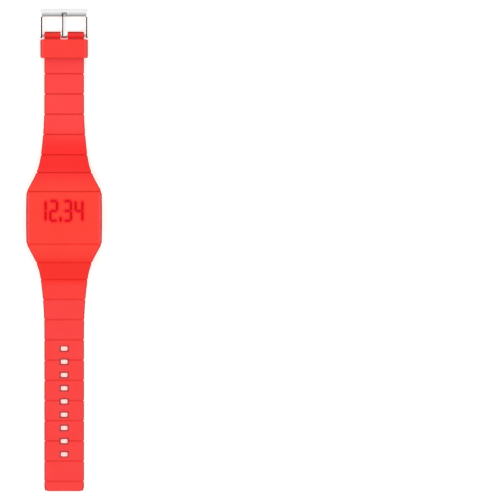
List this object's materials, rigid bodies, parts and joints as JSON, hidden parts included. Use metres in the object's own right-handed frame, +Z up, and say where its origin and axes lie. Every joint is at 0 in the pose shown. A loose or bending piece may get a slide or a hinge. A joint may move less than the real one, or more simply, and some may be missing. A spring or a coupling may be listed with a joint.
{
  "type": "led wristwatch",
  "caption": "Digital wristwatch whose light digits shine through a one-piece grooved silicone band, with a hidden display, a steel pin buckle and a sliding keeper.",
  "frame": {"origin": "middle of the steel back's outer face, on the surface the watch lies on, face up and laid out straight", "axes": "+X across the strap to the right of the digits, +Y along the strap towards the buckle and the top of the digits, +Z up out of the face"},
  "size_m": [0.0384, 0.2441, 0.0098],
  "materials": {
    "red_silicone": "smooth matt moulded silicone, slightly translucent",
    "polished_steel": "mirror polished",
    "plain_steel": "turned, bright",
    "brushed_back": "circular brushed",
    "black_plastic": "fine matt",
    "white_plastic": "fine matt",
    "clear_acrylic": "clear, polished",
    "green_laminate": "solder-mask lacquer",
    "grey_epoxy": "cast, matt",
    "red_led_resin": "diffusing red resin",
    "black_epoxy": "cast resin, glossy",
    "nickel_can": "nickel-plated, satin",
    "ceramic_tan": "fired ceramic with tinned ends",
    "contact_brass": "gold-washed spring strip",
    "amber_film": "thin polyimide film",
    "black_rubber": "smooth"
  },
  "bodies": {
    "band": {"silicone_band": "red_silicone", "spring_bar_tube": "plain_steel", "spring_bar_coil": "plain_steel", "module_housing": "black_plastic", "display_window": "clear_acrylic", "tact_switch_body": "black_plastic", "main_board": "green_laminate", "led_display_block": "grey_epoxy", "led_segments": "red_led_resin", "controller_chip": "black_epoxy", "quartz_crystal": "nickel_can", "chip_capacitors": "ceramic_tan", "chip_resistors": "black_epoxy", "battery_cell": "nickel_can", "battery_positive_contact": "contact_brass", "battery_negative_contact": "contact_brass", "battery_holder": "white_plastic", "insulator_film": "amber_film", "board_screws": "plain_steel", "back_gasket": "black_rubber", "case_back": "brushed_back", "case_back_screws": "plain_steel"},
    "keeper": {"keeper_loop": "red_silicone"},
    "buckle": {"buckle_frame": "polished_steel"},
    "tongue": {"buckle_tongue": "polished_steel"},
    "press": {"press_button": "black_plastic", "tact_switch_stem": "white_plastic"},
    "bar_tip_left": {"spring_bar_tip_left": "plain_steel"},
    "bar_tip_right": {"spring_bar_tip_right": "plain_steel"}
  },
  "joints": [
    {"name": "buckle_swing", "type": "hinge", "parent": "band", "child": "buckle", "pos_m": [0, 0.0923, 0.0028], "axis": [1, 0, 0], "range_deg": [-90, 30]},
    {"name": "tongue_lift", "type": "hinge", "parent": "buckle", "child": "tongue", "pos_m": [0, 0.0923, 0.0028], "axis": [1, 0, 0], "range_deg": [0, 60]},
    {"name": "keeper_slide", "type": "slide", "parent": "band", "child": "keeper", "axis": [0, -1, 0], "range_m": [0, 0.03]},
    {"name": "face_press", "type": "slide", "parent": "band", "child": "press", "axis": [0, 0, -1], "range_m": [0, 0.0003], "stiffness_N_per_m": 1500},
    {"name": "bar_tip_left_slide", "type": "slide", "parent": "band", "child": "bar_tip_left", "axis": [1, 0, 0], "range_m": [0, 0.001], "stiffness_N_per_m": 1000, "deforming": ["spring_bar_coil"]},
    {"name": "bar_tip_right_slide", "type": "slide", "parent": "band", "child": "bar_tip_right", "axis": [-1, 0, 0], "range_m": [0, 0.001], "stiffness_N_per_m": 1000, "deforming": ["spring_bar_coil"]}
  ]
}
